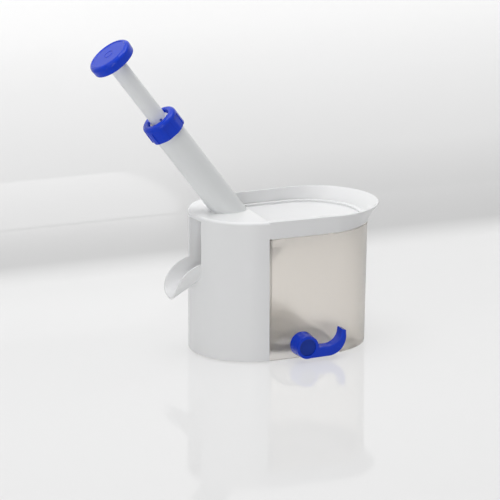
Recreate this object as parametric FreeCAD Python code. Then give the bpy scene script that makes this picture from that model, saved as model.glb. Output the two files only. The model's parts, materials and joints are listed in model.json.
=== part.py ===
# Bench cherry pitter: a stadium-shaped body with a slanted push plunger, an open hopper,
# a see-through stone container, an outlet chute and a suction foot worked by a lever.
# Millimetres. +Z is up, z = 0 is the table, the origin is the middle of the body's footprint.
# +X points to the hopper end, the chute is at -X, the lever is on the -Y side.

import FreeCAD
import Part
import math
import os

# Body. Heights called drop are measured down from the deck, x insets from the chute end.
body_length = 164.8
body_radius = 55.0
body_height = 128.0
foot_gap = 1.4
wall = 2.2
deck_thickness = 2.6
deck_edge_round = 2.4
seam_inset = 51.6
part_gap = 0.35

# Hopper band and rim
band_height = 15.5
rim_overhang = 12.4
rim_side_flare = 2.2
band_bow = 0.36
rim_round = 0.8
tongue_depth = 8.0
tongue_thickness = 2.0
ledge_height = 2.5

# Hopper tray
tray_thickness = 2.0
tray_floor_drop = 24.6
tray_floor_slope = 0.12
tray_channel_radius = 14.5
tray_channel_reach = 7.6
tray_channel_inset = 20.4
pocket_bore = 27.0
pocket_wall = 2.0
pocket_lip = 4.0
pocket_tube_gap = 2.0
pocket_exit_margin = 1.0

# Stone container
container_top_gap = 1.1
container_draft = 2.2
container_floor = 2.4
inset_height = 50.0
nub_length = 4.0
nub_root = 1.0
vault_half_width = 33.0
vault_height = 27.0
vault_wall = 2.6

# Plunger line: it leans towards -X and crosses the deck at this inset. Sizes called top, bottom,
# depth or level are measured along it, up from the deck.
plunger_lean = 36.7
plunger_inset = 34.8
tube_outer = 27.0
tube_bore = 22.4
tube_top = 104.5
tube_bottom = -14.0
tube_seat = 3.0
tube_seat_relief = 2.0
collar_outer = 33.6
collar_skirt = 10.1
collar_crown = 7.3
collar_top_round = 3.8
collar_foot_chamfer = 0.5
collar_dish_radius = 10.6
collar_dish_depth = 3.4
collar_dish_taper = 0.6
collar_mouth_chamfer = 1.0
collar_grips = 8
grip_depth = 1.0
grip_width = 8.0
grip_top_margin = 1.0
rod_outer = 15.4
rod_bore = 9.4
knob_outer = 41.0
knob_bottom = 177.4
knob_thickness = 9.6
knob_round = 3.6
knob_taper = 0.35
knob_lip = 1.2
knob_lip_rise = 0.8
knob_lip_drop = 0.4
knob_rim_land = 0.8
knob_dish_depth = 0.6
knob_ring_radius = 4.6
knob_ring_width = 0.9
knob_ring_depth = 0.25
knob_boss_radius = 10.5
knob_boss_length = 2.4
knob_grip_depth = 7.0
head_outer = 21.8
head_thickness = 3.0
head_spigot_length = 22.0
washer_thickness = 1.6
washer_inset = 0.4
washer_gap = 0.55
bush_flange = 1.8
bush_flange_inset = 0.5
bush_spigot = 2.4
bush_neck = 2.6
bush_neck_wall = 1.6
shaft_clearance = 0.05
pin_diameter = 8.0
pin_play = 0.5
pin_tip_depth = -13.0
pin_notch_half = 1.1
pin_notch_depth = 4.0
cross_pin_diameter = 2.5
cross_pin_inset = 0.3

# Return spring
spring_wire = 1.4
spring_outer = 19.4
spring_turns = 14
spring_gap = 0.3

# Pitting pad and its carrier, set square to the plunger line
pad_level = -48.0
pad_width = 21.0
pad_thickness = 2.8
pad_cut_spacing = 27.0
pad_cut_diameter = 13.5
pad_slit = 0.8
pad_cut_arms = 4
carrier_margin = 3.2
carrier_lip = 2.0
carrier_depth = 3.0
carrier_hole = 17.0
carrier_clearance = 0.15
boss_radius = 3.0
boss_inset = 3.3
boss_length = 18.0
hanger_left = 11.2
hanger_right = 4.8
screw_head_radius = 2.6
screw_head_height = 2.0
screw_radius = 1.3
screw_length = 10.0

# Outlet chute
chute_half_width = 16.0
chute_wall = 2.0
chute_start_inset = 48.4
chute_start_drop = 51.0
chute_body_drop = 64.0
chute_reach = 21.9
chute_tip_drop = 76.6
chute_tip_lip = 1.2
chute_tip_depth = 4.0
chute_edge_inset = 3.4
chute_edge_drop = 43.2
chute_side_rise = 16.0
chute_nose_bulge = 6.8
chute_nose_drop = 72.5
chute_under_depth = 10.0
chute_overrun = 12.0
slot_top_drop = 4.0
shield_inset = 16.4
shield_drop = 27.0

# Lever and suction foot
lever_axis_z = 14.0
lever_gap = 0.6
lever_depth = 13.9
hub_front_diameter = 20.6
hub_back_diameter = 22.6
cap_diameter = 15.4
cap_recess = 1.0
cap_thickness = 1.6
arm_reach = 37.1
arm_rise = 27.0
arm_thickness = 9.0
arm_tip_thickness = 4.4
arm_bottom = 4.0
arm_root_drop = 0.4
arm_bend = 17.0
arm_depth = 12.0
arm_edge_round = 1.1
arm_tip_outer_taper = 0.2
arm_tip_inner_taper = 0.6
arm_tip_fall = 1.0
arm_tip_crest = 0.4
shaft_diameter = 6.0
shaft_socket_start = 5.0
shaft_tail = 0.5
lever_screw_seat = 3.6
lever_screw_head_height = 1.0
lever_screw_length = 6.0
cam_radius = 5.6
cam_width = 6.0
cam_clearance = 0.1
stem_travel = 2.5
stem_width = 20.0
stem_depth = 9.0
stem_bottom = 5.4
stem_top = 24.0
bracket_wall = 2.2
bracket_height = 22.0
bush_outer = 10.0
bush_length = 5.0
bush_front = 0.3
cup_diameter = 62.0
cup_rim_thickness = 1.6
cup_boss_diameter = 24.0
cup_boss_top = 8.0
cup_boss_chamfer = 1.0
cup_socket_diameter = 14.0
cup_dome = 3.4
cup_dome_edge = 1.0
cup_dome_fall = 0.3
cup_sole_width = 2.0
cup_heel_width = 6.0
cup_heel_lift = 0.5
cup_edge = 0.9
cup_shoulder_width = 4.0
cup_shoulder_rise = 0.6
cup_neck_width = 2.0
cup_neck_rise = 0.4
skirt_diameter = 53.0
skirt_clearance = 0.4
mount_plate_gap = 1.6
mount_spread = 14.0
foot_diameter = 11.0
foot_plug = 5.0
foot_end_inset = 24.4
foot_side_inset = 29.0

# How far cutting shapes run past the face that they cut, and a length beyond the whole
past = 1.0
tall = 400.0

# Values worked out from the ones above
half_length = body_length / 2
round_centre = half_length - body_radius
lean = math.radians(plunger_lean)
diagonal = math.cos(math.pi / 4)
seam_x = seam_inset - half_length
plunger_deck_x = plunger_inset - half_length
shield_x = shield_inset - half_length
band_bottom = body_height - band_height
container_top = band_bottom - container_top_gap
tray_top = band_bottom + ledge_height
tray_edge = wall + part_gap + tongue_thickness + tray_thickness
opening_half = body_radius - 2 * wall - part_gap
slot_top = body_height - slot_top_drop
shield_bottom = body_height - shield_drop
chute_start_x = chute_start_inset - half_length
chute_tip_x = -half_length - chute_reach
chute_start_z = body_height - chute_start_drop
chute_body_z = body_height - chute_body_drop
chute_tip_z = body_height - chute_tip_drop
collar_bottom = tube_top - collar_skirt
collar_top = tube_top + collar_crown
knob_top = knob_bottom + knob_thickness
neck_radius = rod_outer / 2 + bush_neck_wall
bush_seat = tube_top + shaft_clearance
rod_bottom = bush_seat - bush_spigot - washer_thickness - washer_gap
pad_middle = pad_cut_spacing / 2
pad_length = 2 * (opening_half - carrier_clearance - pad_middle - 2 * boss_inset)
pad_under = pad_level - pad_thickness
carrier_top = pad_level + carrier_lip
carrier_under = pad_under - carrier_depth
lever_back = -body_radius - lever_gap
lever_front = lever_back - lever_depth
cam_offset = stem_travel / 2 / diagonal
mount_plate = cup_boss_top + mount_plate_gap


def vec(x, y, z):
    return FreeCAD.Vector(x, y, z)


def line(a, b):
    return Part.LineSegment(vec(*a), vec(*b)).toShape()


def arc(a, b, c):
    return Part.Arc(vec(*a), vec(*b), vec(*c)).toShape()


def polygon_wire(points):
    closed = list(points) + [points[0]]
    return Part.makePolygon([vec(*p) for p in closed])


def box(x0, x1, y0, y1, z0, z1):
    return Part.makeBox(x1 - x0, y1 - y0, z1 - z0, vec(x0, y0, z0))


def cylinder(radius, z0, z1, x=0.0, y=0.0):
    return Part.makeCylinder(radius, z1 - z0, vec(x, y, z0), vec(0, 0, 1))


def y_cylinder(radius, y0, y1, x, z):
    return Part.makeCylinder(radius, y1 - y0, vec(x, y0, z), vec(0, 1, 0))


def ring(outer, inner, z0, z1):
    return cylinder(outer, z0, z1).cut(cylinder(inner, z0 - past, z1 + past))


def revolve(profile):
    """Turns a closed outline of (radius, height) points about the local Z axis."""
    face = Part.Face(polygon_wire([(r, 0, h) for r, h in profile]))
    return face.revolve(vec(0, 0, 0), vec(0, 0, 1), 360)


def spin(edges):
    """Turns a closed outline of edges in the local XZ plane about the local Z axis."""
    return Part.Face(Part.Wire(edges)).revolve(vec(0, 0, 0), vec(0, 0, 1), 360)


def turned(shape, angle):
    """The shape turned about the local Z axis."""
    copy = shape.copy()
    copy.rotate(vec(0, 0, 0), vec(0, 0, 1), angle)
    return copy


def round_edges(shape, radius, chosen):
    """Fillets the edges that the test chosen(edge) picks out."""
    edges = [e for e in shape.Edges if chosen(e)]
    return shape.makeFillet(radius, edges)


def at_height(z):
    return lambda e: all(abs(v.Point.z - z) < 1e-4 for v in e.Vertexes)


def outer_edge(edge):
    """True for an edge that isn't the straight cut across the body at the seam."""
    return edge.BoundBox.XLength > 0.01


def on_plunger(shape):
    """Moves a shape made along local +Z on to the slanted plunger line."""
    placed = shape.copy()
    placed.rotate(vec(0, 0, 0), vec(0, 1, 0), -plunger_lean)
    placed.translate(vec(plunger_deck_x, 0, body_height))
    return placed


def track_wire(left, right, radius, z, right_radius=None):
    """Stadium outline from x = left to x = right."""
    r1 = radius
    r2 = radius if right_radius is None else right_radius
    cl = left + r1
    cr = right - r2
    front = line((cl, -r1, z), (cr, -r2, z))
    nose = arc((cr, -r2, z), (right, 0, z), (cr, r2, z))
    back = line((cr, r2, z), (cl, r1, z))
    tail = arc((cl, r1, z), (left, 0, z), (cl, -r1, z))
    return Part.Wire([front, nose, back, tail])


def track_prism(inset, z0, z1):
    wire = track_wire(inset - half_length, half_length - inset, body_radius - inset, z0)
    return Part.Face(wire).extrude(vec(0, 0, z1 - z0))


def right_of(x, z0=0.0, z1=tall):
    return box(x, tall, -tall, tall, z0, z1)


def band_wire(z, inset):
    """The hopper band's outline at height z: it flares outwards up to the rim."""
    share = (z - band_bottom) / band_height
    bowed = share * (1 - band_bow) + band_bow * share * share
    right = half_length + rim_overhang * bowed - inset
    radius = body_radius - inset
    right_radius = radius + rim_side_flare * bowed
    return track_wire(inset - half_length, right, radius, z, right_radius)


def band_loft(inset, z0, z1):
    middle = (z0 + z1) / 2
    return Part.makeLoft([band_wire(z, inset) for z in (z0, middle, z1)], True, False)


def u_section(x, bottom, half_width, rise):
    """Upright trough section: a half circle with straight sides, closed across its top."""
    low = bottom + half_width
    high = bottom + rise
    bowl = arc((x, -half_width, low), (x, 0, bottom), (x, half_width, low))
    right = line((x, half_width, low), (x, half_width, high))
    lid = line((x, half_width, high), (x, -half_width, high))
    left = line((x, -half_width, high), (x, -half_width, low))
    return Part.Wire([bowl, right, lid, left])


def u_trough(half_width, lift):
    """Solid trough space from the pocket down to beyond the tip, its floor raised by lift."""
    inner_run = vec(-chute_start_inset, 0, chute_body_z - chute_start_z)
    outer_run = vec(-chute_reach, 0, chute_tip_z - chute_body_z)
    outer_run = outer_run * (1 + chute_overrun / chute_reach)
    start = Part.Face(u_section(chute_start_x, chute_start_z + lift, half_width, tall))
    bend = Part.Face(u_section(-half_length, chute_body_z + lift, half_width, tall))
    return start.extrude(inner_run).fuse(bend.extrude(outer_run))


def container_shape(inset, z0, z1, low_top):
    """The container's plan: full size right of the seam, and inset with a low top left of it."""
    full = track_prism(inset, z0, z1).common(right_of(seam_x + part_gap + inset, z0, z1))
    low = track_prism(wall + part_gap + inset, z0, low_top)
    return full.fuse(low)


def vault_solid(inset):
    """Tunnel-shaped space over the suction foot, closed by the container's front and back walls."""
    width = vault_half_width - inset
    height = vault_height - inset
    reach = body_radius - wall / 2 if inset == 0 else body_radius - wall
    low = foot_gap if inset == 0 else foot_gap - past
    curve = Part.Ellipse(vec(0, 0, foot_gap), width, height).toShape()
    curve.rotate(vec(0, 0, foot_gap), vec(1, 0, 0), 90)
    face = Part.Face(Part.Wire([curve]))
    face.translate(vec(0, -reach, 0))
    tunnel = face.extrude(vec(0, 2 * reach, 0))
    return tunnel.common(box(-width, width, -reach, reach, low, foot_gap + height))


def corners(x, y):
    return [(sx * x, sy * y) for sx in (-1, 1) for sy in (-1, 1)]


def foot_places():
    return corners(half_length - foot_end_inset, body_radius - foot_side_inset)


def nub_places():
    side = body_radius - wall / 2
    return [(x, sy * side) for x in (round_centre, seam_x + 3 * nub_length) for sy in (-1, 1)]


def stone_container():
    floor_top = foot_gap + container_floor
    outer = container_shape(0.0, foot_gap, container_top, inset_height)
    inner = container_shape(wall, floor_top, container_top + past, inset_height + past)
    drafted = track_wire(-half_length, half_length, body_radius, container_top)
    foot = track_wire(-half_length, half_length - container_draft, body_radius, foot_gap)
    outer = outer.common(Part.makeLoft([foot, drafted], True, True))
    shell = outer.cut(inner)
    seam_opening = box(seam_x - wall, seam_x + 2 * wall, -opening_half, opening_half,
                       floor_top, container_top + past)
    shell = vault_solid(0.0).common(outer).fuse(shell.cut(seam_opening))
    shell = shell.cut(vault_solid(vault_wall))
    shell = shell.cut(y_cylinder(bush_outer / 2, -body_radius - past, -body_radius + bush_length,
                                 0, lever_axis_z))
    for x, y in foot_places():
        shell = shell.cut(cylinder(foot_plug / 2, foot_gap - past, floor_top + past, x, y))
    for x, y in nub_places():
        shell = shell.fuse(box(x - nub_length / 2, x + nub_length / 2, y - wall / 2, y + wall / 2,
                               container_top - nub_root, band_bottom))
    return shell.removeSplitter()


def guide_tube_space(clearance, low, high):
    return on_plunger(cylinder(tube_outer / 2 + clearance, low, high))


def main_housing():
    on_deck = at_height(body_height)
    column = track_prism(0.0, foot_gap, body_height)
    column = column.common(box(-half_length, seam_x, -tall, tall, 0, tall))
    column = round_edges(column, deck_edge_round, lambda e: on_deck(e) and outer_edge(e))
    band = band_loft(0.0, band_bottom, body_height).common(right_of(seam_x))
    band = round_edges(band, rim_round, lambda e: on_deck(e) and outer_edge(e))
    outer = column.fuse(band).removeSplitter()
    cavity = track_prism(wall, foot_gap - past, body_height - deck_thickness)
    cavity = cavity.common(box(-half_length, seam_x - wall, -tall, tall, 0, tall))
    under = track_prism(wall, foot_gap - past, tray_top + tray_thickness)
    under = under.common(box(seam_x - wall - past, seam_x + 0.01, -tall, tall, 0, tall))
    hopper = band_loft(wall, band_bottom - 0.001, body_height + 0.001).common(right_of(seam_x))
    shell = outer.cut(cavity).cut(under).cut(hopper)
    tongue = track_prism(wall + part_gap, band_bottom - tongue_depth, tray_top)
    tongue = tongue.fuse(track_prism(wall / 2, band_bottom, tray_top))
    tongue = tongue.cut(track_prism(wall + part_gap + tongue_thickness,
                                    band_bottom - tongue_depth - past, body_height))
    shell = shell.fuse(tongue.common(right_of(seam_x + wall + 2 * part_gap)))
    slot = u_trough(chute_half_width, 0.0)
    slot = slot.common(box(-half_length - past, shield_x, -tall, tall, 0, slot_top))
    shell = shell.cut(slot).cut(guide_tube_space(0.0, tube_bottom - past, tube_top))
    return shell.removeSplitter()


def guide_tube():
    body = cylinder(tube_outer / 2, tube_bottom, tube_top)
    bore = cylinder(tube_bore / 2, tube_bottom + tube_seat, tube_top + past)
    pin_hole = cylinder(pin_diameter / 2 + pin_play, tube_bottom - past, tube_top)
    relief = cylinder(tube_bore / 2 - tube_seat_relief, tube_bottom - past, tube_bottom + tube_seat / 2)
    return on_plunger(body.cut(bore).cut(pin_hole).cut(relief))


def locking_collar():
    radius = collar_outer / 2
    foot = radius - collar_foot_chamfer
    shoulder = collar_top - collar_top_round
    crest = radius - collar_top_round
    bulge = collar_top_round * diagonal
    mouth = collar_dish_radius + collar_mouth_chamfer
    dish_rim = collar_top - collar_mouth_chamfer
    dish_radius = collar_dish_radius - collar_dish_taper
    dish = collar_top - collar_dish_depth
    cap = spin([
        line((0, 0, collar_bottom), (foot, 0, collar_bottom)),
        line((foot, 0, collar_bottom), (radius, 0, collar_bottom + collar_foot_chamfer)),
        line((radius, 0, collar_bottom + collar_foot_chamfer), (radius, 0, shoulder)),
        arc((radius, 0, shoulder), (crest + bulge, 0, shoulder + bulge), (crest, 0, collar_top)),
        line((crest, 0, collar_top), (mouth, 0, collar_top)),
        line((mouth, 0, collar_top), (collar_dish_radius, 0, dish_rim)),
        line((collar_dish_radius, 0, dish_rim), (dish_radius, 0, dish)),
        line((dish_radius, 0, dish), (0, 0, dish)),
        line((0, 0, dish), (0, 0, collar_bottom)),
    ])
    cap = cap.cut(cylinder(tube_outer / 2 + part_gap, collar_bottom - past, bush_seat + bush_flange))
    cap = cap.cut(cylinder(neck_radius, collar_bottom, collar_top + past))
    grip = box(radius - grip_depth, radius + past, -grip_width / 2, grip_width / 2,
               collar_bottom - past, shoulder - grip_top_margin)
    for k in range(collar_grips):
        cap = cap.cut(turned(grip, 360.0 / collar_grips * k))
    return on_plunger(cap)


def rod_bush():
    flange_top = bush_seat + bush_flange
    body = cylinder(tube_outer / 2 - bush_flange_inset, bush_seat, flange_top)
    body = body.fuse(cylinder(tube_bore / 2 - part_gap, bush_seat - bush_spigot, bush_seat))
    body = body.fuse(cylinder(neck_radius, bush_seat, flange_top + bush_neck))
    return on_plunger(body.cut(cylinder(rod_outer / 2 + shaft_clearance, 0, flange_top + bush_neck + past)))


def plunger_rod():
    top = knob_bottom - knob_boss_length + knob_grip_depth
    return on_plunger(ring(rod_outer / 2, rod_bore / 2, rod_bottom, top).cut(cross_hole(rod_outer)))


def cross_hole(reach):
    """Round space across the rod, head and pin, where the cross pin sits."""
    return y_cylinder(cross_pin_diameter / 2, -reach, reach, 0, rod_bottom + head_spigot_length / 2)


def cross_pin():
    return on_plunger(cross_hole(rod_outer / 2 - cross_pin_inset))


def knob():
    radius = knob_outer / 2
    low = radius - knob_taper
    lip = low - knob_lip
    bulge = knob_lip * diagonal
    shoulder = knob_top - knob_round
    crest = radius - knob_round
    top_bulge = knob_round * diagonal
    flat = crest - knob_rim_land
    dish = knob_top - knob_dish_depth
    boss_low = knob_bottom - knob_boss_length
    lip_low = knob_bottom - knob_lip_drop
    lip_high = knob_bottom + knob_lip_rise
    body = spin([
        line((0, 0, boss_low), (knob_boss_radius, 0, boss_low)),
        line((knob_boss_radius, 0, boss_low), (lip, 0, lip_low)),
        arc((lip, 0, lip_low), (lip + bulge, 0, lip_high - bulge), (low, 0, lip_high)),
        line((low, 0, lip_high), (radius, 0, shoulder)),
        arc((radius, 0, shoulder), (crest + top_bulge, 0, shoulder + top_bulge), (crest, 0, knob_top)),
        line((crest, 0, knob_top), (flat, 0, dish)),
        line((flat, 0, dish), (0, 0, dish)),
        line((0, 0, dish), (0, 0, boss_low)),
    ])
    body = body.cut(cylinder(rod_outer / 2, boss_low - past, boss_low + knob_grip_depth))
    groove = ring(knob_ring_radius, knob_ring_radius - knob_ring_width, dish - knob_ring_depth, dish + past)
    return on_plunger(body.cut(groove))


def piston_head():
    spigot_top = rod_bottom + head_spigot_length
    body = cylinder(head_outer / 2, rod_bottom - head_thickness, rod_bottom)
    body = body.fuse(cylinder(rod_bore / 2, rod_bottom, spigot_top))
    body = body.cut(cylinder(pin_diameter / 2, 0, spigot_top + past))
    return on_plunger(body.cut(cross_hole(rod_outer)))


def bumper_washer():
    return on_plunger(ring(head_outer / 2 - washer_inset, rod_outer / 2, rod_bottom,
                           rod_bottom + washer_thickness))


def pitting_pin():
    pin = cylinder(pin_diameter / 2, pin_tip_depth, rod_bottom + head_spigot_length)
    notch = box(-pin_diameter, pin_diameter, -pin_notch_half, pin_notch_half,
                pin_tip_depth - past, pin_tip_depth + pin_notch_depth)
    for angle in (0, 90):
        pin = pin.cut(turned(notch, angle))
    return on_plunger(pin.cut(cross_hole(rod_outer)))


def return_spring():
    low = tube_bottom + tube_seat + spring_wire / 2 + spring_gap
    high = rod_bottom - head_thickness - spring_wire / 2 - spring_gap
    radius = (spring_outer - spring_wire) / 2
    helix = Part.makeHelix((high - low) / spring_turns, high - low, radius)
    helix.translate(vec(0, 0, low))
    section = Part.Wire([Part.Circle(vec(radius, 0, low), vec(0, 1, 0), spring_wire / 2).toShape()])
    centre_line = Part.Wire(helix.Edges)
    report_gap(centre_line)
    return on_plunger(centre_line.makePipeShell([section], True, True))


def report_gap(centre_line):
    """Measures the least gap between neighbouring turns on points and prints it."""
    per_turn = 24
    points = centre_line.discretize(per_turn * spring_turns + 1)
    near = min((points[j] - points[i]).Length
               for i in range(len(points))
               for j in range(i + per_turn // 2, min(i + 2 * per_turn, len(points))))
    print("return_spring least gap", round(near - spring_wire, 2), "mm")


def pad_slots(diameter, depth_low, depth_high):
    """Cross cuts of one rosette, on local Z, between the two depths."""
    slit = box(-diameter / 2, diameter / 2, -pad_slit / 2, pad_slit / 2, depth_low, depth_high)
    cuts = slit
    for k in range(1, pad_cut_arms):
        cuts = cuts.fuse(turned(slit, 180.0 / pad_cut_arms * k))
    return cuts


def pad_box(low, high):
    half_x = pad_width / 2
    half_y = pad_length / 2
    return box(-half_x, half_x, pad_middle - half_y, pad_middle + half_y, low, high)


def pitting_pad():
    pad = pad_box(pad_under, pad_level)
    for y in (0, pad_cut_spacing):
        cut = pad_slots(pad_cut_diameter, pad_under - past, pad_level + past)
        cut.translate(vec(0, y, 0))
        pad = pad.cut(cut)
    return on_plunger(pad)


def boss_places():
    reach = pad_length / 2 + boss_inset
    return [pad_middle - reach, pad_middle + reach]


def pad_carrier():
    low, high = boss_places()
    half = pad_width / 2 + carrier_margin
    body = box(-half, half, low - boss_inset, high + boss_inset, carrier_under, carrier_top)
    body = body.cut(pad_box(pad_under, carrier_top + past))
    for y in (0, pad_cut_spacing):
        body = body.cut(cylinder(carrier_hole / 2, carrier_under - past, pad_under + past, 0, y))
    for y in (low, high):
        body = body.cut(cylinder(screw_radius, carrier_under - past, carrier_top + past, 0, y))
    return on_plunger(body)


def carrier_screws():
    screws = []
    for y in boss_places():
        shank = cylinder(screw_radius, carrier_under, carrier_under + screw_length, 0, y)
        head = cylinder(screw_head_radius, carrier_under - screw_head_height, carrier_under, 0, y)
        screws.append(on_plunger(shank.fuse(head)))
    return Part.makeCompound(screws)


def tray_bowl(inset):
    """Funnel space from the tray's top outline down to its sloping channel, grown by -inset."""
    r_top = body_radius - tray_edge + inset
    left_top = seam_x + tray_thickness - inset
    right_top = half_length - tray_edge + inset
    cr = right_top - r_top
    r_low = tray_channel_radius + inset
    left_low = plunger_deck_x + tray_channel_reach - inset
    right_low = half_length - tray_channel_inset + inset

    def floor(x):
        return body_height - tray_floor_drop + tray_floor_slope * x - inset

    past_centre = min(left_top + round_centre, 0.0)
    side_y = math.sqrt(r_top ** 2 - past_centre ** 2)
    high = Part.Wire([
        line((left_top, -side_y, tray_top), (cr, -r_top, tray_top)),
        arc((cr, -r_top, tray_top), (right_top, 0, tray_top), (cr, r_top, tray_top)),
        line((cr, r_top, tray_top), (left_top, side_y, tray_top)),
        line((left_top, side_y, tray_top), (left_top, -side_y, tray_top)),
    ])
    cl = left_low + r_low
    cn = right_low - r_low
    low = Part.Wire([
        line((cl, -r_low, floor(cl)), (cn, -r_low, floor(cn))),
        arc((cn, -r_low, floor(cn)), (right_low, 0, floor(right_low)), (cn, r_low, floor(cn))),
        line((cn, r_low, floor(cn)), (cl, r_low, floor(cl))),
        arc((cl, r_low, floor(cl)), (left_low, 0, floor(left_low)), (cl, -r_low, floor(cl))),
    ])
    return Part.makeLoft([high, low], True, True)


def tray_hanger():
    """Upright web that joins the far screw boss to the tray's side."""
    y = boss_places()[1]
    x = plunger_deck_x - carrier_top * math.sin(lean)
    web = box(x - hanger_left, x + hanger_right, y - boss_radius, y + boss_radius, 0, tray_top)
    return web.cut(on_plunger(box(-tall, tall, -tall, tall, -tall, carrier_top)))


def hopper_tray():
    flange_top = tray_top + tray_thickness
    flange = track_prism(wall + part_gap, tray_top, flange_top)
    flange = flange.cut(track_prism(tray_edge, tray_top - past, flange_top + past))
    flange = flange.common(right_of(seam_x + part_gap))
    pocket = cylinder(pocket_bore / 2 + pocket_wall, carrier_top, tube_bottom - pocket_tube_gap)
    for y in boss_places():
        pocket = pocket.fuse(cylinder(boss_radius, carrier_top, carrier_top + boss_length, 0, y))
    pocket = on_plunger(pocket).common(box(-tall, tall, -tall, tall, 0, tray_top))
    tray = tray_bowl(tray_thickness).fuse(pocket).fuse(tray_hanger())
    tray = tray.cut(tray_bowl(0.0)).fuse(flange)
    bore = cylinder(pocket_bore / 2, carrier_top - past, tube_bottom)
    side = pocket_bore / 2 - pocket_exit_margin
    bore = bore.fuse(box(-tall, -pocket_bore / 4, -side, side, carrier_top + pocket_lip, tube_bottom))
    for y in boss_places():
        bore = bore.fuse(cylinder(screw_radius, carrier_top - past, carrier_top + screw_length, 0, y))
    tray = tray.cut(on_plunger(bore))
    tray = tray.cut(guide_tube_space(part_gap, tube_bottom - part_gap, tube_top))
    tray = tray.common(box(-half_length, tall, -tall, tall, 0, flange_top))
    return tray.removeSplitter()


def chute_outline():
    """Side view of the chute: ramp, shield behind the slot, and the curved nose."""
    edge_x = chute_edge_inset - half_length
    edge_z = body_height - chute_edge_drop
    nose_z = body_height - chute_nose_drop
    run_x = chute_tip_x - edge_x
    run_z = nose_z - edge_z
    run = math.hypot(run_x, run_z)
    middle = ((edge_x + chute_tip_x) / 2 + run_z / run * chute_nose_bulge, 0,
              (edge_z + nose_z) / 2 - run_x / run * chute_nose_bulge)
    shield_back = shield_x + chute_wall
    side_top = (chute_start_x, 0, chute_start_z + chute_side_rise)
    under = (chute_start_x, 0, chute_start_z - chute_under_depth)
    lip = (chute_tip_x + chute_tip_lip, 0, chute_tip_z - chute_tip_depth)
    return Part.Wire([
        line(under, side_top),
        line(side_top, (shield_back, 0, shield_bottom)),
        line((shield_back, 0, shield_bottom), (shield_back, 0, slot_top)),
        line((shield_back, 0, slot_top), (edge_x, 0, slot_top)),
        line((edge_x, 0, slot_top), (edge_x, 0, edge_z)),
        arc((edge_x, 0, edge_z), middle, (chute_tip_x, 0, nose_z)),
        line((chute_tip_x, 0, nose_z), lip),
        line(lip, under),
    ])


def outlet_chute():
    sides = Part.Face(chute_outline())
    sides.translate(vec(0, -chute_half_width, 0))
    block = sides.extrude(vec(0, 2 * chute_half_width, 0))
    trough = block.common(u_trough(chute_half_width, 0.0))
    hollow = u_trough(chute_half_width - chute_wall, chute_wall)
    shield = box(shield_x, shield_x + chute_wall, -tall, tall, shield_bottom, slot_top)
    return trough.cut(hollow.cut(shield)).removeSplitter()


def arm_outline():
    """Front view of the lever's arm: straight from the hub, then bent upwards to its tip."""
    inner_x = arm_reach - arm_tip_thickness
    arm_top = arm_bottom + arm_thickness
    outer_mid = arm_bend * (1 - diagonal)
    inner_bend = arm_bend - arm_tip_thickness
    inner_mid = inner_bend * (1 - diagonal)
    root = (0, 0, arm_bottom - arm_root_drop)
    bend_start = (arm_reach - arm_bend, 0, arm_bottom)
    bend_end = (arm_reach, 0, arm_bottom + arm_bend)
    tip_out = (arm_reach - arm_tip_outer_taper, 0, arm_rise - arm_tip_fall)
    tip_in = (inner_x + arm_tip_inner_taper, 0, arm_rise + arm_tip_crest)
    inner_end = (inner_x, 0, arm_top + inner_bend)
    inner_start = (inner_x - inner_bend, 0, arm_top)
    return Part.Wire([
        line(root, bend_start),
        arc(bend_start, (arm_reach - outer_mid, 0, arm_bottom + outer_mid), bend_end),
        line(bend_end, tip_out),
        line(tip_out, tip_in),
        line(tip_in, inner_end),
        arc(inner_end, (inner_x - inner_mid, 0, arm_top + inner_mid), inner_start),
        line(inner_start, (0, 0, arm_top)),
        line((0, 0, arm_top), root),
    ])


def suction_lever():
    hub = Part.makeCone(hub_front_diameter / 2, hub_back_diameter / 2, lever_depth,
                        vec(0, lever_front, lever_axis_z), vec(0, 1, 0))
    arm = Part.Face(arm_outline())
    arm.translate(vec(0, lever_front, 0))
    arm = arm.extrude(vec(0, arm_depth, 0))
    beyond_hub = hub_back_diameter / 2 + arm_edge_round
    arm = round_edges(arm, arm_edge_round,
                      lambda e: e.BoundBox.YLength < 0.01 and e.BoundBox.XMax > beyond_hub)
    lever = hub.fuse(arm)
    cap_floor = lever_front + cap_recess + cap_thickness
    lever = lever.cut(y_cylinder(cap_diameter / 2, lever_front - past, cap_floor, 0, lever_axis_z))
    lever = lever.cut(y_cylinder(shaft_diameter / 2, lever_front + shaft_socket_start,
                                 lever_back + past, 0, lever_axis_z))
    lever = lever.cut(y_cylinder(screw_radius, lever_front, lever_back, 0, lever_axis_z))
    lever = lever.cut(y_cylinder(screw_head_radius, lever_front, lever_front + lever_screw_seat,
                                 0, lever_axis_z))
    return lever.removeSplitter()


def lever_cap():
    face = lever_front + cap_recess
    return y_cylinder(cap_diameter / 2, face, face + cap_thickness, 0, lever_axis_z)


def lever_screw():
    head_back = lever_front + lever_screw_seat
    head = y_cylinder(screw_head_radius, head_back - lever_screw_head_height, head_back, 0, lever_axis_z)
    return head.fuse(y_cylinder(screw_radius, head_back, head_back + lever_screw_length, 0, lever_axis_z))


def cam_shaft():
    """Lever shaft with a round eccentric, whose middle stands halfway up on the -X side at rest."""
    shaft_end = stem_depth / 2 + part_gap + bracket_wall + shaft_tail
    shaft = y_cylinder(shaft_diameter / 2, lever_front + shaft_socket_start, shaft_end, 0, lever_axis_z)
    side = cam_offset * diagonal
    shaft = shaft.fuse(y_cylinder(cam_radius, -cam_width / 2, cam_width / 2, -side, lever_axis_z + side))
    bite = lever_front + lever_screw_seat + lever_screw_length
    return shaft.cut(y_cylinder(screw_radius, lever_front, bite, 0, lever_axis_z))


def shaft_bush():
    front = -body_radius - bush_front
    body = y_cylinder(bush_outer / 2, front, -body_radius + bush_length, 0, lever_axis_z)
    return body.cut(y_cylinder(shaft_diameter / 2 + shaft_clearance, front - past, 0, 0, lever_axis_z))


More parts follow.
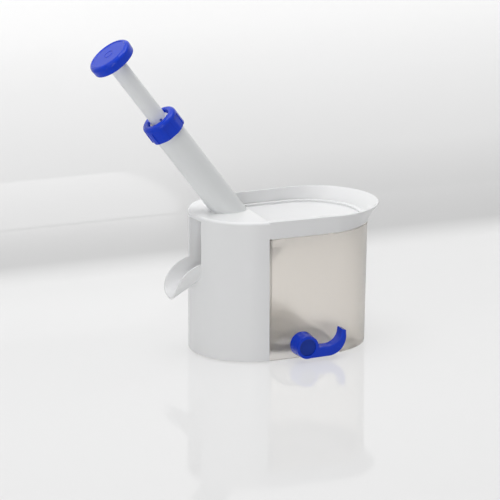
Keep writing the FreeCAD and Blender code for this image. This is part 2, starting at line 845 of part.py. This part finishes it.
def suction_stem():
    """Plunger of the suction cup, with the window that the cam turns in."""
    half_x = stem_width / 2
    half_y = stem_depth / 2
    side = cam_offset * diagonal
    low = lever_axis_z - cam_radius + side - cam_clearance
    high = lever_axis_z + cam_radius + side + cam_clearance
    window = cam_radius + cam_offset + cam_clearance
    body = box(-half_x, half_x, -half_y, half_y, cup_boss_top, stem_top)
    body = body.fuse(cylinder(cup_socket_diameter / 2, stem_bottom, cup_boss_top))
    return body.cut(box(-window, window, -tall, tall, low, high)).removeSplitter()


def suction_mount():
    half_x = stem_width / 2 + part_gap
    half_y = stem_depth / 2 + part_gap
    outer_x = half_x + bracket_wall
    outer_y = half_y + bracket_wall
    skirt_low = cup_rim_thickness + cup_dome + skirt_clearance
    body = ring(skirt_diameter / 2, skirt_diameter / 2 - bracket_wall, skirt_low, mount_plate)
    body = body.fuse(cylinder(skirt_diameter / 2, mount_plate, mount_plate + bracket_wall))
    body = body.fuse(box(-outer_x, outer_x, -outer_y, outer_y, mount_plate, bracket_height))
    body = body.cut(box(-half_x, half_x, -half_y, half_y, 0, tall))
    body = body.cut(y_cylinder(shaft_diameter / 2 + shaft_clearance, -outer_y - past, outer_y + past,
                               0, lever_axis_z))
    for x, y in corners(mount_spread, mount_spread):
        body = body.fuse(cylinder(boss_radius, mount_plate, mount_post_top(), x, y))
    for x, y in corners(mount_spread, mount_spread):
        body = body.cut(cylinder(screw_radius, 0, tall, x, y))
    clear = y_cylinder(shaft_diameter / 2 + past, -skirt_diameter, -outer_y, 0, lever_axis_z)
    return body.cut(clear).removeSplitter()


def mount_post_top():
    """Underside of the vault above a post's far side."""
    far = (mount_spread + boss_radius) / (vault_half_width - vault_wall)
    return foot_gap + (vault_height - vault_wall) * math.sqrt(1 - far ** 2)


def mount_screws():
    screws = []
    for x, y in corners(mount_spread, mount_spread):
        shank = cylinder(screw_radius, mount_plate, mount_post_top(), x, y)
        head = cylinder(screw_head_radius, mount_plate - screw_head_height, mount_plate, x, y)
        screws.append(shank.fuse(head))
    return Part.makeCompound(screws)


def suction_cup():
    rim = cup_diameter / 2
    boss = cup_boss_diameter / 2
    inner = boss + cup_dome_edge
    cup = revolve([
        (0, cup_dome),
        (inner, cup_dome - cup_dome_fall),
        (rim - cup_heel_width, cup_heel_lift),
        (rim - cup_sole_width, 0.0),
        (rim, 0.0),
        (rim, cup_edge),
        (rim - cup_shoulder_width, cup_rim_thickness + cup_shoulder_rise),
        (inner + cup_neck_width, cup_dome + cup_rim_thickness + cup_neck_rise),
        (boss, cup_boss_top - cup_boss_chamfer),
        (boss - cup_boss_chamfer, cup_boss_top),
        (0, cup_boss_top),
    ])
    return cup.cut(cylinder(cup_socket_diameter / 2, stem_bottom, cup_boss_top + past))


def anti_slip_feet():
    feet = []
    for x, y in foot_places():
        pad = cylinder(foot_diameter / 2, 0, foot_gap, x, y)
        feet.append(pad.fuse(cylinder(foot_plug / 2, foot_gap, foot_gap + container_floor, x, y)))
    return Part.makeCompound(feet)


pieces = {
    "main_housing": main_housing,
    "hopper_tray": hopper_tray,
    "outlet_chute": outlet_chute,
    "stone_container": stone_container,
    "guide_tube": guide_tube,
    "locking_collar": locking_collar,
    "rod_bush": rod_bush,
    "plunger_rod": plunger_rod,
    "knob": knob,
    "piston_head": piston_head,
    "bumper_washer": bumper_washer,
    "cross_pin": cross_pin,
    "pitting_pin": pitting_pin,
    "return_spring": return_spring,
    "pitting_pad": pitting_pad,
    "pad_carrier": pad_carrier,
    "carrier_screws": carrier_screws,
    "suction_lever": suction_lever,
    "lever_cap": lever_cap,
    "lever_screw": lever_screw,
    "cam_shaft": cam_shaft,
    "shaft_bush": shaft_bush,
    "suction_stem": suction_stem,
    "suction_mount": suction_mount,
    "mount_screws": mount_screws,
    "suction_cup": suction_cup,
    "anti_slip_feet": anti_slip_feet,
}

os.makedirs("parts", exist_ok=True)
for name, make in pieces.items():
    shape = make()
    print(name, len(shape.Solids), "solid(s)", round(shape.Volume / 1000, 2), "cm3", shape.isValid())
    shape.exportStep("parts/" + name + ".step")
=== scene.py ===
# Cherry pitter with a slanted push plunger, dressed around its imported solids.
# Metres, +Z up. The hopper end is +X, the chute is at -X, the suction lever is on the -Y side.

import json
import math

import bmesh
import bpy
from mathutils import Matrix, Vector


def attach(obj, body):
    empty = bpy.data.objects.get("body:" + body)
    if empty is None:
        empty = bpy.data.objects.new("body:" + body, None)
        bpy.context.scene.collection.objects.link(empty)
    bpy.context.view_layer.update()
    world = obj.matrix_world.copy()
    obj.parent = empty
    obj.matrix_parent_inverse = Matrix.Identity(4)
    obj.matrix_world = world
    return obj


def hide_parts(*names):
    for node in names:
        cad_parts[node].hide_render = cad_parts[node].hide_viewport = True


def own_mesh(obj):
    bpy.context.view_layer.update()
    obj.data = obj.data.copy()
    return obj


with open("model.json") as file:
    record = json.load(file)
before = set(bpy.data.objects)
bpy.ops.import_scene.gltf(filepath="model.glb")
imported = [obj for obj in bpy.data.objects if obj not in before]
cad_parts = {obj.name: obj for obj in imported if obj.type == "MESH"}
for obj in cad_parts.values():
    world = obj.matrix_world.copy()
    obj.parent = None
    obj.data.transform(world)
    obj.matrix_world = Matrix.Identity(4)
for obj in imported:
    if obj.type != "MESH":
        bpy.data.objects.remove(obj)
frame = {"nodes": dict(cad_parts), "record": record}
nodes = frame["nodes"]
scene = bpy.context.scene


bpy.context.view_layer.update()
print("frame loaded:", len(nodes), "nodes")


# Camera

camera = {
    "azimuth": -22.34,  # degrees, from straight in front towards the chute
    "elevation": 15.27,
    "distance": 3.032,
    "target": (-0.02398, 0.00709, 0.08662),
    "focalPixels": 3390.5,  # focal length in pixels of the 500 pixel wide picture
    "pictureWidth": 500.0,
    "sensorWidth": 36.0,  # millimetres
    "farthest": 50.0,
}


def makeCamera():
    data = bpy.data.cameras.new("camera")
    data.sensor_fit = "HORIZONTAL"
    data.sensor_width = camera["sensorWidth"]
    data.lens = camera["focalPixels"] / camera["pictureWidth"] * camera["sensorWidth"]
    data.clip_end = camera["farthest"]
    az = math.radians(camera["azimuth"])
    el = math.radians(camera["elevation"])
    back = Vector((math.sin(az) * math.cos(el), -math.cos(az) * math.cos(el), math.sin(el)))
    obj = bpy.data.objects.new("camera", data)
    obj.location = Vector(camera["target"]) + back * camera["distance"]
    obj.rotation_euler = back.to_track_quat("Z", "Y").to_euler()
    scene.collection.objects.link(obj)
    scene.camera = obj
    print("camera placed")


makeCamera()


# Node and colour helpers

def hexColour(text, alpha=1.0):
    # sRGB hex to the linear values that the shader wants
    parts = [int(text[i:i + 2], 16) / 255 for i in (1, 3, 5)]
    linear = [c / 12.92 if c <= 0.04045 else ((c + 0.055) / 1.055) ** 2.4 for c in parts]
    return (linear[0], linear[1], linear[2], alpha)


def addNode(tree, kind, settings=None, links=None):
    # settings are sockets by name or the node's own attributes, links are socket name or number -> output
    node = tree.nodes.new(kind)
    for name, value in (settings or {}).items():
        if hasattr(node, name):
            setattr(node, name, value)
        else:
            node.inputs[name].default_value = value
    for name, output in (links or {}).items():
        tree.links.new(output, node.inputs[name])
    return node


def newMaterial(name, settings):
    material = bpy.data.materials.new(name)
    material.use_nodes = True
    tree = material.node_tree
    tree.nodes.clear()
    shader = addNode(tree, "ShaderNodeBsdfPrincipled", settings)
    out = addNode(tree, "ShaderNodeOutputMaterial", None, {"Surface": shader.outputs["BSDF"]})
    return material, tree, shader, out


def objectPoint(tree):
    # object coordinates are metres, the same as the frame's
    return addNode(tree, "ShaderNodeTexCoord").outputs["Object"]


def perMillimetre(millimetres):
    # texture scale that repeats about once in this many millimetres
    return 1000.0 / millimetres


skin = {
    "cloudSize": 42.0,  # millimetres across one flow cloud
    "cloudDetail": 1.0,
    "cloudRange": (0.2, 0.8),
    "peelDetail": 4.0,
    "peelStrength": 0.35,
}


def mouldedSkin(tree, shader, tint, shadow, grain, height, gloss):
    # faint flow clouds in the colour, fine orange peel in the surface, slightly uneven gloss;
    # grain and height are the peel's in millimetres, gloss is the lowest and highest roughness
    place = objectPoint(tree)
    cloud = addNode(tree, "ShaderNodeTexNoise",
                    {"Scale": perMillimetre(skin["cloudSize"]), "Detail": skin["cloudDetail"]}, {"Vector": place})
    ramp = addNode(tree, "ShaderNodeValToRGB", None, {"Fac": cloud.outputs["Fac"]})
    for stop, position, colour in zip(ramp.color_ramp.elements, skin["cloudRange"], (shadow, tint)):
        stop.position = position
        stop.color = hexColour(colour)
    tree.links.new(ramp.outputs["Color"], shader.inputs["Base Color"])
    peel = addNode(tree, "ShaderNodeTexNoise",
                   {"Scale": perMillimetre(grain), "Detail": skin["peelDetail"]}, {"Vector": place})
    bump = addNode(tree, "ShaderNodeBump", {"Strength": skin["peelStrength"], "Distance": height / 1000.0},
                   {"Height": peel.outputs["Fac"]})
    tree.links.new(bump.outputs["Normal"], shader.inputs["Normal"])
    rough = addNode(tree, "ShaderNodeMapRange", {"To Min": gloss[0], "To Max": gloss[1]},
                    {"Value": cloud.outputs["Fac"]})
    tree.links.new(rough.outputs["Result"], shader.inputs["Roughness"])


# Materials

def whiteAbs():
    # ABS, injection moulded with a polished tool: clean white, soft broad reflections;
    # its clouds are one step of colour apart, because stronger ones showed as blotches
    material, tree, shader, out = newMaterial("whiteAbs", {"IOR": 1.53, "Subsurface Weight": 0.04})
    shader.inputs["Subsurface Radius"].default_value = (0.004, 0.004, 0.0038)
    mouldedSkin(tree, shader, tint="#F0F1F1", shadow="#F0F0F1", grain=3.2, height=0.02, gloss=(0.26, 0.27))
    return material


def tubeAbs():
    # the same ABS on the tube and the rod; its colour is a shade darker and cooler, painted shade standing for
    # the thin, hollow wall
    material, tree, shader, out = newMaterial("tubeAbs", {"IOR": 1.53})
    mouldedSkin(tree, shader, tint="#E9EBEB", shadow="#E5E7E8", grain=4.0, height=0.02, gloss=(0.26, 0.34))
    return material


def blueAbs():
    # ABS coloured through with ultramarine and polished: deep blue with narrow reflections,
    # which are matched and weaker than the usual level of 0.5
    material, tree, shader, out = newMaterial("blueAbs", {"IOR": 1.54, "Specular IOR Level": 0.2})
    mouldedSkin(tree, shader, tint="#023CD0", shadow="#0239C8", grain=2.6, height=0.008, gloss=(0.08, 0.11))
    return material


def blueInsertAbs():
    # the disc pressed in the hub: the same blue, etched satin, so it looks darker and flatter
    material, tree, shader, out = newMaterial("blueInsertAbs", {"IOR": 1.54, "Specular IOR Level": 0.2})
    mouldedSkin(tree, shader, tint="#1237A0", shadow="#103394", grain=1.2, height=0.03, gloss=(0.40, 0.50))
    return material


def frostedPolypropylene():
    # natural polypropylene with a fine spark-eroded frost: milky, faintly warm, lets light through;
    # its real IOR is about 1.49, and 1.2 was matched to how light the inside looks
    material, tree, shader, out = newMaterial(
        "frostedPolypropylene", {"IOR": 1.2, "Transmission Weight": 0.88, "Specular IOR Level": 1.0})
    mouldedSkin(tree, shader, tint="#FBF8F4", shadow="#F9F6F2", grain=0.8, height=0.02, gloss=(0.30, 0.36))
    return material


def naturalAcetal():
    # acetal (POM), machined or moulded without colour: dense, waxy off-white
    material, tree, shader, out = newMaterial("naturalAcetal", {"IOR": 1.48})
    mouldedSkin(tree, shader, tint="#E4E0D6", shadow="#DCD8CE", grain=1.6, height=0.03, gloss=(0.34, 0.44))
    return material


def tanRubber():
    # natural rubber, calendered and die cut: matt honey tan with a fine dry grain
    material, tree, shader, out = newMaterial("tanRubber", {"IOR": 1.52})
    mouldedSkin(tree, shader, tint="#D8B267", shadow="#C79F55", grain=0.9, height=0.08, gloss=(0.62, 0.74))
    return material


def greyRubber():
    # thermoplastic rubber, moulded: dull mid grey, slightly dusty
    material, tree, shader, out = newMaterial("greyRubber", {"IOR": 1.50})
    mouldedSkin(tree, shader, tint="#8C8E91", shadow="#808285", grain=1.1, height=0.06, gloss=(0.55, 0.68))
    return material


steel = {
    "lineSpacing": 0.9,  # millimetres between drawing lines, coarser than real so that they show
    "lineDistortion": 3.0,
    "lineDetail": 2.0,
    "gloss": (0.18, 0.34),
}


def drawnSteel():
    # stainless wire and turned pins: bright, with faint drawing lines along the part
    material, tree, shader, out = newMaterial("drawnSteel", {"Metallic": 1.0, "Base Color": hexColour("#C9CACC")})
    lines = addNode(tree, "ShaderNodeTexWave",
                    {"Scale": perMillimetre(steel["lineSpacing"]), "Distortion": steel["lineDistortion"],
                     "Detail": steel["lineDetail"]}, {"Vector": objectPoint(tree)})
    rough = addNode(tree, "ShaderNodeMapRange", {"To Min": steel["gloss"][0], "To Max": steel["gloss"][1]},
                    {"Value": lines.outputs["Fac"]})
    tree.links.new(rough.outputs["Result"], shader.inputs["Roughness"])
    return material


finishes = {
    "white_abs": whiteAbs(),
    "tube_abs": tubeAbs(),
    "blue_abs": blueAbs(),
    "dark_blue_abs": blueInsertAbs(),
    "frosted_pp": frostedPolypropylene(),
    "natural_pom": naturalAcetal(),
    "tan_rubber": tanRubber(),
    "grey_rubber": greyRubber(),
    "steel": drawnSteel(),
}


def dressNodes():
    # each solid takes the finish of its slot in the record
    for entry in frame["record"]["subparts"]:
        obj = nodes[entry["node"]]
        obj.data.materials.clear()
        obj.data.materials.append(finishes[entry["material_slot"]])
    print("solids dressed")


dressNodes()


# Return spring: its solid is stiff, here a copy of it rides with the top


def makeSpring():
    # a copy of the solid's coil, hung on the top with a mesh of its own; the solid is hidden
    spring = bpy.data.objects.new("returnSpring", nodes["return_spring"].data.copy())
    scene.collection.objects.link(spring)
    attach(spring, "top")
    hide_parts("return_spring")
    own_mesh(spring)


makeSpring()


# Floor and backdrop

sweep = {
    "floorHalf": 3.0,
    "floorFront": -3.5,
    "floorBack": 0.26,
    "radius": 0.16,
    "steps": 24,
    "wallTop": 1.6,
    "bounceColour": "#C8C8C8",
    "bounceGlow": 0.18,
    "bounceRoughness": 0.3,
    "acrylicIor": 1.45,
    "seenColour": "#8E8E8E",  # darker than white, because the glow of the bands adds to it
    "seenRoughness": 0.06,
    "seenIor": 1.35,
    "bandHeight": 0.24,  # height over which the bands are spread
    # the bands paint light and shade into the backdrop's glow: painted shade at the foot of the wall, painted
    # light growing upwards
    "bands": ((0.0, 0.50), (0.03, 0.34), (0.3, 0.54), (0.86, 0.75), (1.0, 0.78)),  # share of height, glow
}


def sightRay(tree):
    # 1 for what the camera sees, straight or in a glossy or see-through surface
    ray = addNode(tree, "ShaderNodeLightPath")
    total = ray.outputs["Is Camera Ray"]
    for kind in ("Is Glossy Ray", "Is Transmission Ray"):
        step = addNode(tree, "ShaderNodeMath", {"operation": "ADD", "use_clamp": True},
                       {0: total, 1: ray.outputs[kind]})
        total = step.outputs["Value"]
    return total


def bandRamp(tree):
    # brightness of the backdrop by height, painted: pale table, painted shade at the foot of the wall, painted
    # light that grows paler upwards
    height = addNode(tree, "ShaderNodeSeparateXYZ", None, {"Vector": objectPoint(tree)})
    climb = addNode(tree, "ShaderNodeMapRange", {"From Max": sweep["bandHeight"]}, {"Value": height.outputs["Z"]})
    ramp = addNode(tree, "ShaderNodeValToRGB", None, {"Fac": climb.outputs["Result"]})
    stops = ramp.color_ramp.elements
    bands = sweep["bands"]
    for place, level in bands[1:-1]:
        stops.new(place)
    for stop, (place, level) in zip(stops, bands):
        stop.position = place
        stop.color = (level, level, level, 1.0)
    return ramp.outputs["Color"]


def glowingSheet():
    # white acrylic light table and backdrop: glossy, with a soft glow in the picture and a fainter
    # one on what stands on it; seen from its back it isn't there, so it hides nothing
    material, tree, bounced, out = newMaterial(
        "glowingSheet", {"Base Color": hexColour(sweep["bounceColour"]), "Roughness": sweep["bounceRoughness"],
                         "IOR": sweep["acrylicIor"], "Emission Color": hexColour("#FFFFFF"),
                         "Emission Strength": sweep["bounceGlow"]})
    seen = addNode(tree, "ShaderNodeBsdfPrincipled",
                   {"Base Color": hexColour(sweep["seenColour"]), "Roughness": sweep["seenRoughness"],
                    "IOR": sweep["seenIor"], "Emission Strength": 1.0}, {"Emission Color": bandRamp(tree)})
    front = addNode(tree, "ShaderNodeMixShader", None,
                    {"Fac": sightRay(tree), 1: bounced.outputs["BSDF"], 2: seen.outputs["BSDF"]})
    side = addNode(tree, "ShaderNodeNewGeometry")
    clear = addNode(tree, "ShaderNodeBsdfTransparent")
    oneSided = addNode(tree, "ShaderNodeMixShader", None,
                       {"Fac": side.outputs["Backfacing"], 1: front.outputs["Shader"], 2: clear.outputs["BSDF"]})
    tree.links.new(oneSided.outputs["Shader"], out.inputs["Surface"])
    return material


def tableStrip(name, profile, finish):
    # a strip as wide as the floor, run along (y, z) points, with its front up or towards the camera
    mesh = bpy.data.meshes.new(name)
    build = bmesh.new()
    rows = []
    for x in (-sweep["floorHalf"], sweep["floorHalf"]):
        rows.append([build.verts.new((x, y, z)) for y, z in profile])
    for k in range(len(profile) - 1):
        build.faces.new((rows[0][k], rows[1][k], rows[1][k + 1], rows[0][k + 1]))
    for face in build.faces:
        face.smooth = True
    build.normal_update()
    build.to_mesh(mesh)
    build.free()
    obj = bpy.data.objects.new(name, mesh)
    scene.collection.objects.link(obj)
    mesh.materials.append(finish)


def makeSweep():
    # floor that curves up into a backdrop; the table goes on behind it, for a look from the back
    finish = glowingSheet()
    back, radius = sweep["floorBack"], sweep["radius"]
    profile = [(sweep["floorFront"], 0.0), (back, 0.0)]
    for k in range(1, sweep["steps"] + 1):
        turn = math.pi / 2 * k / sweep["steps"]
        profile.append((back + radius * math.sin(turn), radius * (1 - math.cos(turn))))
    profile.append((back + radius, sweep["wallTop"]))
    tableStrip("studioSweep", profile, finish)
    tableStrip("tableBehind", [(back, 0.0), (-sweep["floorFront"], 0.0)], finish)
    print("sweep made")


makeSweep()


# Light

daylight = {
    "colour": "#FFFFFF",
    "strength": 0.05,  # on the object
    "seen": 0.8,  # past the edges of the floor
}

lampAim = (0.0, 0.0, 0.1)
softboxes = {
    "overheadSoftbox": {"place": (0.0, -0.1, 1.5), "size": (1.2, 1.0), "watts": 13.1},
    "highLeftSoftbox": {"place": (-1.0, -0.3, 1.2), "size": (0.9, 0.9), "watts": 2.0},
    "leftSoftbox": {"place": (-1.5, -0.9, 0.9), "size": (0.8, 1.1), "watts": 2.9},
    "lowFrontSoftbox": {"place": (-0.9, -1.95, 0.4), "size": (0.6, 0.6), "watts": 8.7},
}


def makeDaylight():
    world = bpy.data.worlds.new("studioWorld")
    scene.world = world
    world.use_nodes = True
    tree = world.node_tree
    tree.nodes.clear()
    lit = addNode(tree, "ShaderNodeBackground",
                  {"Color": hexColour(daylight["colour"]), "Strength": daylight["strength"]})
    seen = addNode(tree, "ShaderNodeBackground",
                   {"Color": hexColour(daylight["colour"]), "Strength": daylight["seen"]})
    mix = addNode(tree, "ShaderNodeMixShader", None,
                  {"Fac": sightRay(tree), 1: lit.outputs["Background"], 2: seen.outputs["Background"]})
    addNode(tree, "ShaderNodeOutputWorld", None, {"Surface": mix.outputs["Shader"]})


def makeSoftboxes():
    for name, box in softboxes.items():
        data = bpy.data.lights.new(name, "AREA")
        data.shape = "RECTANGLE"
        data.size, data.size_y = box["size"]
        data.energy = box["watts"]
        obj = bpy.data.objects.new(name, data)
        obj.location = box["place"]
        obj.rotation_euler = (Vector(box["place"]) - Vector(lampAim)).to_track_quat("Z", "Y").to_euler()
        scene.collection.objects.link(obj)


makeDaylight()
makeSoftboxes()
scene.view_settings.view_transform = "Standard"
print("studio lit")
